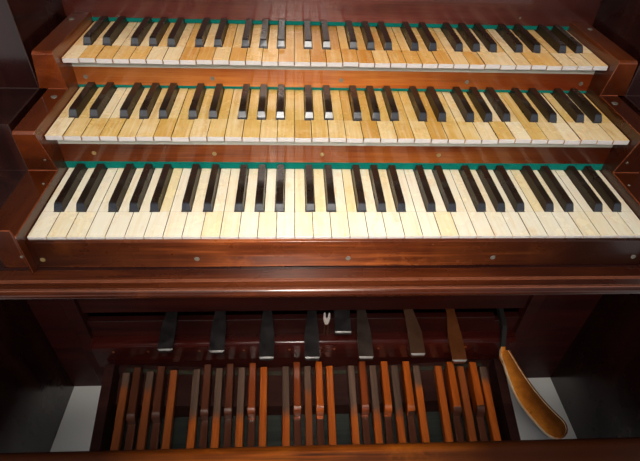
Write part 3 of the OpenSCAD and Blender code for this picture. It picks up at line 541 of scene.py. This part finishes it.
def surface(node):
    """A node's mesh as a tree that rays can be cast on."""
    obj = NODES[node]
    verts = [obj.matrix_world @ v.co for v in obj.data.vertices]
    return BVHTree.FromPolygons(verts, [tuple(p.vertices) for p in obj.data.polygons])


def piece(name, bm, material, body="console", width=0.0):
    """Makes an object of a mesh, lets it ride on a body and rounds its edges."""
    mesh = bpy.data.meshes.new(name)
    bm.to_mesh(mesh)
    bm.free()
    obj = bpy.data.objects.new(name, mesh)
    bpy.context.collection.objects.link(obj)
    obj.data.materials.append(material)
    if width:
        soften(obj, width)
    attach(obj, body)
    return obj


def islands(bm):
    """The separate pieces of a mesh, as lists of vertices, in order from left to right."""
    left = set(bm.verts)
    found = []
    while left:
        stack = [left.pop()]
        group = list(stack)
        while stack:
            for edge in stack.pop().link_edges:
                for vert in edge.verts:
                    if vert in left:
                        left.remove(vert)
                        stack.append(vert)
                        group.append(vert)
        found.append(group)
    return sorted(found, key=lambda g: sum(v.co.x for v in g) / len(g))


def key_set(node, name, material, drop, tones_of, bevel):
    """Copies a row of keys from its CAD node, lets each lie a hair lower, and rounds its edges."""
    rng = random.Random(node)
    bm = bmesh.new()
    bm.from_mesh(NODES[node].data)
    bmesh.ops.remove_doubles(bm, verts=bm.verts, dist=WELD)
    head = bm.verts.layers.float.new("head")
    tail = bm.verts.layers.float.new("tail")
    for group in islands(bm):
        sink = rng.random() * drop
        tones = tones_of(rng, sum(v.co.x for v in group) / len(group))
        for v in group:
            v[head], v[tail] = tones
            v.co.z -= sink
    obj = piece(name, bm, material, "console", bevel)
    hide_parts(node)


def key_tones(base, middle_gain, odd_share, odd_gain, vary):
    """Tones of one manual's naturals: yellower towards the middle, with an odd deep one."""
    def tones_of(rng, x):
        level = base + middle_gain * math.exp(-((x + 0.03) / 0.2) ** 2)
        head = level + rng.uniform(-vary, vary)
        tail = level + rng.uniform(-vary, vary) * 0.7
        if rng.random() < odd_share:
            head += odd_gain * rng.uniform(0.6, 1.2)
        if rng.random() < odd_share * 0.6:
            tail += odd_gain * rng.uniform(0.5, 1.0)
        return max(head, 0.0), max(tail, 0.0)
    return tones_of


def prism(bm, outline, thickness, matrix):
    """Extrudes an outline of (x, y) points by a thickness and moves it by a matrix."""
    low = [bm.verts.new(matrix @ Vector((x, y, 0))) for x, y in outline]
    high = [bm.verts.new(matrix @ Vector((x, y, thickness))) for x, y in outline]
    bm.faces.new(list(reversed(low)))
    bm.faces.new(high)
    for k in range(len(outline)):
        j = (k + 1) % len(outline)
        bm.faces.new((low[k], low[j], high[j], high[k]))


def disc(radius, steps=18):
    """Outline of a round."""
    turns = [2 * math.pi * k / steps for k in range(steps)]
    return [(radius * math.cos(a), radius * math.sin(a)) for a in turns]


def screw(bm, place, normal, radius, turn):
    """A slotted head: a thin disc with two half rounds on it, set into the surface."""
    matrix = Matrix.Translation(place) @ normal.to_track_quat("Z", "Y").to_matrix().to_4x4()
    matrix = matrix @ Matrix.Rotation(turn, 4, "Z") @ Matrix.Translation((0, 0, -0.0006))
    prism(bm, disc(radius), 0.0007, matrix)
    slot = radius * 0.13
    top = matrix @ Matrix.Translation((0, 0, 0.0006))
    for side in (1, -1):
        start = math.asin(slot / (radius * 0.96))
        arc = [start + (math.pi - 2 * start) * k / 9 for k in range(10)]
        half = [(radius * 0.96 * math.cos(a), side * radius * 0.96 * math.sin(a)) for a in arc]
        prism(bm, half if side > 0 else list(reversed(half)), 0.0008, top)


def fix_screws(name, material, radius, rows):
    """Sets screws where rays first meet a node. A row holds the node, its direction, places from left to
    right, and their depth and height, in millimetres from the keys."""
    rng = random.Random(name)
    bm = bmesh.new()
    for node, direction, across, depth, height in rows:
        for x in across:
            start = at_keys((x, depth, height))
            place, normal, _, _ = SURFACES[node].ray_cast(start, Vector(direction))
            if normal.dot(Vector(direction)) > 0:
                normal = -normal
            screw(bm, place, normal, radius * MM, rng.uniform(0, math.pi))
    piece(name, bm, material, "console", 0.00015)


def at_keys(place):
    """A point measured in millimetres from the front of the lower keys and their tops."""
    return Vector((place[0] * MM, KEY_FRONT + place[1] * MM, KEY_TOP + place[2] * MM))


def sunk_panels(node, axis, side, depth):
    """Bounds of a node's flat faces that look along an axis and lie this deep under its box."""
    low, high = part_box(node)
    level = (high if side > 0 else low)[axis] - side * depth
    bm = bmesh.new()
    bm.from_mesh(NODES[node].data)
    bmesh.ops.remove_doubles(bm, verts=bm.verts, dist=WELD)
    bmesh.ops.dissolve_limit(bm, angle_limit=0.01, verts=bm.verts, edges=bm.edges)
    found = []
    for face in bm.faces:
        if face.normal[axis] * side > 0.99 and abs(face.calc_center_median()[axis] - level) < NEAR:
            corners = [v.co for v in face.verts]
            found.append([[f(c[k] for c in corners) for k in range(3)] for f in (min, max)])
    bm.free()
    return found


def beads(name, node, axis, side, depth, material):
    """Frames each sunk panel of a node with a narrow moulding that fills its corner."""
    bm = bmesh.new()
    others = [k for k in range(3) if k != axis]
    steps = [(inset, share * PANEL_SINK) for inset, share in (
        (0.0, 1.0), (0.0022, 1.0), (0.0045, 0.7), (0.0072, 0.6), (0.0105, 0.16), (0.0105, 0.0), (0.0, 0.0))]
    for low, high in sunk_panels(node, axis, side, depth):
        rings = []
        for inset, rise in steps:
            ring = []
            for a, b in ((0, 0), (1, 0), (1, 1), (0, 1)):
                point = [0.0, 0.0, 0.0]
                point[axis] = low[axis] + side * rise
                for k, pick in zip(others, (a, b)):
                    point[k] = high[k] - inset if pick else low[k] + inset
                ring.append(bm.verts.new(point))
            rings.append(ring)
        for j, ring in enumerate(rings):
            after = rings[(j + 1) % len(rings)]
            for k in range(4):
                n = (k + 1) % 4
                bm.faces.new((ring[k], ring[n], after[n], after[k]))
    bmesh.ops.recalc_face_normals(bm, faces=bm.faces)
    piece(name, bm, material)


def toe_felt(material):
    """A pale strip on the frame's far beam, behind the ends of the pedal keys."""
    past_keys = 0.006
    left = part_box("pedal_key_01")[0].x - past_keys
    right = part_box("pedal_key_29")[1].x + past_keys
    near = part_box("toe_rail")[1].y - 0.0255
    far = near + 0.012
    thick = 0.0022
    count = 48
    bm = bmesh.new()
    rows = []
    for k in range(count + 1):
        x = left + (right - left) * k / count
        row = []
        for y, lift in ((near, 0), (near, thick), (far, thick), (far, 0)):
            hit = SURFACES["pedal_frame"].ray_cast(Vector((x, y, 0.2)), Vector((0, 0, -1)))[0]
            row.append(bm.verts.new((x, y, hit.z + lift)))
        rows.append(row)
    for a, b in zip(rows, rows[1:]):
        for k in range(4):
            j = (k + 1) % 4
            bm.faces.new((a[k], a[j], b[j], b[k]))
    bm.faces.new(rows[0])
    bm.faces.new(list(reversed(rows[-1])))
    bmesh.ops.recalc_face_normals(bm, faces=bm.faces)
    piece("toe_felt", bm, material)


def catch(fork_material, rod_material):
    """A small forked catch on two rods that stand on the toe rail."""
    x, y, top = 12, 335, -575
    outline = [(-8.5, 2), (-9, -18), (-7, -30), (-4, -42), (4, -42), (7, -30), (9, -18), (8.5, 2),
               (5.5, 6), (3.2, 0), (2.6, -13), (0, -17), (-2.6, -13), (-3.2, 0), (-5.5, 6)]
    front = Matrix.Translation(at_keys((x, y + 1.5, top))) @ Matrix.Rotation(math.pi / 2, 4, "X")
    bm = bmesh.new()
    prism(bm, [(a * MM, b * MM) for a, b in outline], 0.003, front)
    bmesh.ops.recalc_face_normals(bm, faces=bm.faces)
    piece("catch_fork", bm, fork_material, "console", 0.0007)
    rail_top = SURFACES["toe_rail"].ray_cast(at_keys((x, y, -500)), Vector((0, 0, -1)))[0].z
    foot = at_keys((x, y, top - 43)).z
    bm = bmesh.new()
    for side in (-4.6, 4.6):
        stand = Matrix.Translation((at_keys((x + side, y, 0)).x, at_keys((0, y, 0)).y, rail_top - 0.001))
        prism(bm, disc(0.0018, 14), foot + 0.002 - rail_top, stand)
    bar = [(-6.6, -2.2), (6.6, -2.2), (6.6, 2.2), (-6.6, 2.2)]
    stand = Matrix.Translation((at_keys((x, 0, 0)).x, at_keys((0, y, 0)).y, foot - 0.002))
    prism(bm, [(a * MM, b * MM) for a, b in bar], 0.004, stand)
    piece("catch_rods", bm, rod_material, "console", 0.0004)


SURFACES = {node: surface(node)
            for node in ("key_slips", "key_cheeks", "name_board", "toe_rail", "pedal_frame")}

# Woods: a dark, a middle and a light tone each
DARK_CASE = ((0.006, 0.0014, 0.0012), (0.016, 0.0035, 0.0030), (0.034, 0.0085, 0.0060))
case_wood_x = wood("case_wood_x", *DARK_CASE, "X", rough=0.25)
case_wood_z = wood("case_wood_z", *DARK_CASE, "Z", rough=0.25)
side_wood = wood("side_wood", (0.026, 0.0065, 0.004), (0.055, 0.014, 0.009), (0.095, 0.026, 0.016), "Z",
                 coat=0.4)
back_wood = wood("back_wood", (0.030, 0.010, 0.007), (0.060, 0.019, 0.012), (0.095, 0.032, 0.019), "Z",
                 rough=0.4, coat=0.2)
# Where ends is set, the boards carry painted shade at their ends.
board_wood = wood("board_wood", (0.020, 0.0032, 0.002), (0.105, 0.022, 0.0155), (0.175, 0.044, 0.032), "X",
                  coat=0.55, ripple=0.16, ends=0.82, gloss=0.09)
knee_wood = wood("knee_wood", (0.012, 0.0014, 0.001), (0.032, 0.0040, 0.0025), (0.065, 0.009, 0.005), "X",
                 rough=0.5, coat=0.0)
toe_wood = wood("toe_wood", (0.016, 0.0022, 0.0016), (0.040, 0.0050, 0.0035), (0.085, 0.012, 0.008), "X",
                rough=0.26, coat=0.3)
slip_wood = wood("slip_wood", (0.085, 0.006, 0.0005), (0.40, 0.092, 0.010), (0.66, 0.24, 0.048), "X",
                 rough=0.34, ribbon=0.3, ripple=0.14, ends=0.85, gloss=0.1, reach=(0.10, 0.42))
lower_slip_wood = wood("lower_slip_wood", (0.036, 0.004, 0.0006), (0.24, 0.050, 0.006), (0.42, 0.125, 0.020),
                       "X", rough=0.34, seed=4.0, ribbon=0.3, ripple=0.14, ends=0.95, gloss=0.1,
                       reach=(0.10, 0.38))
front_slip_wood = wood("front_slip_wood", (0.012, 0.0022, 0.0008), (0.125, 0.026, 0.007),
                       (0.42, 0.11, 0.024), "X", rough=0.26, coat=0.3, ring=1.6, seed=3.0, wear=0.6,
                       ends=0.95, reach=(0.10, 0.37))
cheek_wood = wood("cheek_wood", (0.060, 0.009, 0.002), (0.135, 0.024, 0.004), (0.25, 0.055, 0.008), "Y",
                  coat=0.45, wear=0.25, shade=cheek_painted_shade)
rail_wood = wood("rail_wood", (0.017, 0.0026, 0.001), (0.042, 0.0078, 0.0022), (0.115, 0.025, 0.0055), "X",
                 rough=0.25, coat=0.28, ring=1.4, seed=5.0, wear=0.5, ends=0.6, shade=rail_painted_shade)
bench_wood = wood("bench_wood", (0.020, 0.004, 0.001), (0.27, 0.060, 0.004), (0.56, 0.15, 0.010), "X",
                  rough=0.4, coat=0.05, ring=1.2, seed=9.0, wear=0.6, ends=0.97, reach=(0.02, 0.26))
bench_end_wood = wood("bench_end_wood", (0.08, 0.024, 0.006), (0.17, 0.052, 0.012), (0.28, 0.10, 0.024), "Z",
                      rough=0.35, coat=0.2)
frame_wood = wood("frame_wood", (0.014, 0.0042, 0.0035), (0.034, 0.010, 0.008), (0.065, 0.022, 0.016), "X",
                  rough=0.5, coat=0.0)
frame_paint = wood("frame_paint", (0.34, 0.34, 0.29), (0.46, 0.46, 0.40), (0.58, 0.58, 0.51), "X",
                   rough=0.6, coat=0.0)
dusty_board = wood("dusty_board", (0.014, 0.017, 0.015), (0.034, 0.040, 0.035), (0.070, 0.078, 0.066), "X",
                   rough=0.7, coat=0.0)

# Metals, edge tones of the woods, lighter with wear and with a painted highlight, and felts
# Pale steel on the levers' front edges, standing for wear and a painted highlight.
STEEL_LIP_WEAR_AND_HIGHLIGHT = (0.34, 0.325, 0.31)
iron_shades = {
    "black": iron("iron_black", (0.012, 0.0095, 0.010), (0.044, 0.036, 0.037), 0.42, 0.5),
    "grey": iron("iron_grey", (0.030, 0.018, 0.014), (0.072, 0.046, 0.034), 0.42, 0.5),
    "brown": iron("iron_brown", (0.055, 0.022, 0.010), (0.120, 0.050, 0.024), 0.4, 0.3),
    "copper": iron("iron_copper", (0.105, 0.028, 0.007), (0.210, 0.065, 0.018), 0.36, 0.3),
}
fork_metal = plain("fork_metal", (0.95, 0.92, 0.86), 0.35, Metallic=0.2)
rod_metal = plain("rod_metal", (0.14, 0.055, 0.020), 0.35, Metallic=0.6)
screw_steel = plain("screw_steel", (0.26, 0.24, 0.20), 0.4, Metallic=0.6)
screw_brass = plain("screw_brass", (0.42, 0.30, 0.13), 0.4, Metallic=0.6)
screw_copper = plain("screw_copper", (0.62, 0.24, 0.10), 0.35, Metallic=0.9)
# Edge tones: the red, toe, orange and rail ones lighter with wear and with a painted highlight.
red_edge_wear_and_highlight = plain("red_edge_wear_and_highlight", (0.18, 0.040, 0.012), 0.3, Coat_Weight=0.4)
toe_edge_wear_and_highlight = plain("toe_edge_wear_and_highlight", (0.30, 0.070, 0.055), 0.24, Coat_Weight=0.7)
orange_edge_wear_and_highlight = plain("orange_edge_wear_and_highlight", (0.22, 0.060, 0.012), 0.3, Coat_Weight=0.4)
rail_edge_wear_and_highlight = plain("rail_edge_wear_and_highlight", (0.14, 0.036, 0.012), 0.34, Coat_Weight=0.4)
dark_edge = plain("dark_edge", (0.022, 0.007, 0.005), 0.4, Coat_Weight=0.1)
ebony_black = ebony()
green_felt = felt("green_felt", (0.001, 0.085, 0.068), (0.002, 0.24, 0.20))
pale_felt = felt("pale_felt", (0.012, 0.011, 0.008), (0.16, 0.145, 0.10))

# Levers from left to right
LEVER_SHADES = ("black", "black", "black", "black", "grey", "brown", "copper")

# Border of the bare wood behind the sharps' noses, how dull the varnish is, and the pedals that look so
PEDAL_WEAR = {
    "worn": (0.025, 0.1, (6, 8, 10, 13, 18, 20, 22)),
    "half": (0.095, 0.0, (24, 29)),
    "fresh": (0.30, 0.05, (12, 17, 25)),
    "faded": (0.30, 0.5, (5, 27)),
    "dull": (0.10, 0.7, (1, 3, 15)),
}
CAP_TONES = {
    "brown": ((0.13, 0.038, 0.018), (2, 4, 7, 9)),
    "red": ((0.30, 0.060, 0.014), (11, 14, 19)),
    "orange": ((0.62, 0.125, 0.014), (16, 21, 23, 26, 28)),
}

# Pale, yellow and orange ivory, stain, tones of the keys, and how far a key lies lower than its neighbour
IVORY_LOOKS = {
    "lower": (((0.82, 0.74, 0.60), (0.80, 0.63, 0.34), (0.68, 0.41, 0.12)), 0.12,
              key_tones(0.06, 0.04, 0.16, 0.32, 0.12), 0.0004),
    "middle": (((0.86, 0.70, 0.47), (0.69, 0.44, 0.135), (0.52, 0.25, 0.035)), 0.5,
               key_tones(0.24, 0.34, 0.20, 0.34, 0.30), 0.0014),
    "upper": (((0.94, 0.72, 0.45), (0.83, 0.46, 0.135), (0.58, 0.21, 0.018)), 0.45,
              key_tones(0.20, 0.54, 0.20, 0.30, 0.30), 0.0012),
}

# Screws and pins: name, metal, radius, and rows of node, direction, places across, depth and height
AHEAD = (0, 1, 0)
DOWN = (0, 0, -1)
SCREWS = (
    ("screws_steel", screw_steel, 3.4, (
        ("key_slips", AHEAD, (-196, -1, 192, 385), -60, -33),
        ("key_slips", AHEAD, (-386, -196, 2, 201, 386), 170, 88.5))),
    ("screws_brass", screw_brass, 3.2, (
        ("key_slips", AHEAD, (-389,), -60, -33),
        ("key_slips", AHEAD, (-356, -186, -30, 142.5), 60, 26.5))),
    ("cheek_screws", screw_steel, 4.5, (
        ("key_cheeks", DOWN, (-418, 418), 348, 190),
        ("key_cheeks", DOWN, (-410.5, 410.5), 200, 130))),
    ("pins", screw_steel, 1.8, (
        ("key_cheeks", DOWN, (-408, 408), 90, 60),
        ("key_cheeks", AHEAD, (-408.5, 408.5), 60, 36.5),
        ("key_cheeks", AHEAD, (-414, 414), -60, -29),
        ("name_board", AHEAD, (310.5,), 330, 149))),
    ("rail_screws", screw_copper, 3.6, (
        ("toe_rail", AHEAD, (-548, -458, -325, -207, -85, 35, 155, 275, 395), 200, -692),)),
)


def dress_boards():
    """Case, key desk, pedal frame and bench."""
    for node in NODES:
        dress(node, case_wood_x)
    dress("case_sides", case_wood_z, dark_edge, side_wood)
    dress_part("case_sides", 2, lambda middle: abs(middle.x) > SIDE_X - SIDE_PANEL_DEPTH - NEAR)
    dress("case_top", case_wood_x, dark_edge)
    dress("back_panel", back_wood)
    dress("name_board", board_wood)
    dress("kneeboard", knee_wood, dark_edge)
    dress("toe_rail", toe_wood, toe_edge_wear_and_highlight)
    dress("front_rail", rail_wood, rail_edge_wear_and_highlight)
    dress("key_slips", slip_wood, orange_edge_wear_and_highlight, front_slip_wood, lower_slip_wood)
    dress_part("key_slips", 2, lambda middle: middle.z < KEY_TOP)
    dress_part("key_slips", 3, lambda middle: KEY_TOP < middle.z < UPPER_SLIP_LOW)
    dress("key_cheeks", cheek_wood, red_edge_wear_and_highlight)
    dress("key_frames", frame_paint)
    dress("felt_strips", green_felt)
    dress("bench_seat", bench_wood)
    dress("bench_frame", bench_end_wood, orange_edge_wear_and_highlight)
    dress("pedal_frame", frame_wood, dusty_board)
    dress_part("pedal_frame", 1, lambda middle: middle.z < PEDAL_BOARD_TOP
               and abs(middle.x - PEDAL_X) < PEDAL_BOARD_REACH)


def dress_levers():
    """Levers over the pedals, their shaft, and the swell pedal."""
    dress("lever_shaft", iron_shades["black"])
    dress("short_lever", iron_shades["black"])
    soften(NODES["short_lever"], 0.0018)
    for number, shade in enumerate(LEVER_SHADES, 1):
        node = "composition_pedal_%d" % number
        dress(node, iron_shades[shade])
        soften(NODES[node], 0.0018)
    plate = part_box("swell_pedal")[0]
    dress("swell_pedal", swell_metal(plate.x + 0.0055, plate.y + 0.238, SWELL_TOP - 0.012,
                                     plate.y + 0.032))
    soften(NODES["swell_pedal"], 0.0009)


def dress_pedals():
    """Worn oak on the naturals, dark bars with redder blocks on the sharps."""
    for seed, (kind, (border, dull, numbers)) in enumerate(PEDAL_WEAR.items()):
        oak = pedal_oak("pedal_oak_" + kind, PEDAL_NOSE + border, seed, dull)
        for number in numbers:
            dress("pedal_key_%02d" % number, oak)
    for kind, (tone, numbers) in CAP_TONES.items():
        cap = pedal_cap("pedal_cap_" + kind, (0.13, 0.040, 0.020), tone, PEDAL_NOSE - 0.008)
        for number in numbers:
            node = "pedal_key_%02d" % number
            dress(node, cap, orange_edge_wear_and_highlight)
            soften(NODES[node], 0.0016)


def dress_manuals():
    """Ivories and ebonies of the three manuals, each key with tones of its own."""
    for manual, (tones, stain, tones_of, drop) in IVORY_LOOKS.items():
        node = manual + "_naturals"
        low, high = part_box(node)
        plates = ivory("ivory_" + manual, low.y, high.z, tones, stain)
        key_set(node, manual + "_ivories", plates, drop, tones_of, 0.0005)
        key_set(manual + "_sharps", manual + "_ebonies", ebony_black, 0.0004,
                lambda rng, x: (rng.random(), 0.0), 0.0009)


def add_trim():
    """Screws, pins, felt, catch and panel mouldings, and the rounded edges of the boards."""
    for name, material, radius, rows in SCREWS:
        fix_screws(name, material, radius, rows)
    toe_felt(pale_felt)
    catch(fork_metal, rod_metal)
    beads("side_beads_left", "case_sides", 0, -1, SIDE_PANEL_DEPTH, side_wood)
    beads("side_beads_right", "case_sides", 0, 1, SIDE_PANEL_DEPTH, side_wood)
    beads("back_beads", "back_panel", 1, 1, BACK_PANEL_DEPTH, back_wood)
    beads("knee_beads", "kneeboard", 1, -1, KNEE_PANEL_DEPTH, knee_wood)
    for node in ("front_rail", "key_cheeks", "bench_frame", "kneeboard", "case_sides", "case_top"):
        soften(NODES[node], 0.0013)
    soften(NODES["key_slips"], 0.0009)
    soften(NODES["toe_rail"], 0.0016)
    soften(NODES["name_board"], 0.001)


def studio_world():
    """A dim, cool sky that polished wood mirrors even less."""
    world = bpy.data.worlds.new("studio")
    bpy.context.scene.world = world
    world.use_nodes = True
    sky = world.node_tree.nodes["Background"]
    sky.inputs["Color"].default_value = (0.86, 0.91, 1.0, 1)
    rays = world.node_tree.nodes.new("ShaderNodeLightPath")
    dimmer = world.node_tree.nodes.new("ShaderNodeMapRange")
    dimmer.inputs["To Min"].default_value = 0.22
    dimmer.inputs["To Max"].default_value = 0.05
    world.node_tree.links.new(rays.outputs["Is Glossy Ray"], dimmer.inputs["Value"])
    world.node_tree.links.new(dimmer.outputs["Result"], sky.inputs["Strength"])


def light_console():
    """Flashes by the camera, a long lamp over the keys, and lamps for pedals, front, sides and back."""
    camera = CAMERA_PLACE + Vector((0, KEY_FRONT, KEY_TOP))
    keys = (-0.04, 0.12, KEY_TOP + 0.06)
    area_light("flash", camera + Vector((-0.10, -0.30, 0.24)), keys, 0.12, 4.7, (1.0, 0.93, 0.83))
    area_light("near_flash", camera + Vector((-0.02, -0.01, 0.08)), keys, 0.10, 0.22, (0.62, 0.80, 1.0))
    area_light("upper_light", (-0.03, KEY_FRONT - 0.53, KEY_TOP + 0.85),
               (-0.03, KEY_FRONT + 0.3, KEY_TOP + 0.16), 0.28, 4.4, (1.0, 0.94, 0.85),
               spread=90, length=0.98)
    area_light("pedal_light", camera + Vector((0, 0.02, 0.06)), (PEDAL_X + 0.05, KEY_FRONT + 0.18, 0.18),
               0.1, 0.5, (1.0, 0.90, 0.78), spread=50)
    area_light("key_light", (-1.0, -1.5, 2.6), (0, 0.1, 0.8), 1.4, 9, (1.0, 0.94, 0.86))
    area_light("fill_light", (1.6, -1.2, 2.0), (0, 0, 0.6), 1.6, 3, (0.95, 0.97, 1.0))
    area_light("back_light", (0.3, 2.4, 0.95), (0, 0.35, 0.8), 0.55, 26, (1.0, 0.97, 0.93))
    for side in (-1, 1):
        area_light("side_light", (2.4 * side, 0.7, 0.95), (0.7 * side, 0.1, 0.8), 0.55, 13,
                   (1.0, 0.97, 0.93))


dress_boards()
dress_levers()
dress_pedals()
dress_manuals()
add_trim()
floor_stage()
place_camera()
studio_world()
light_console()

bpy.context.scene.view_settings.view_transform = "Standard"
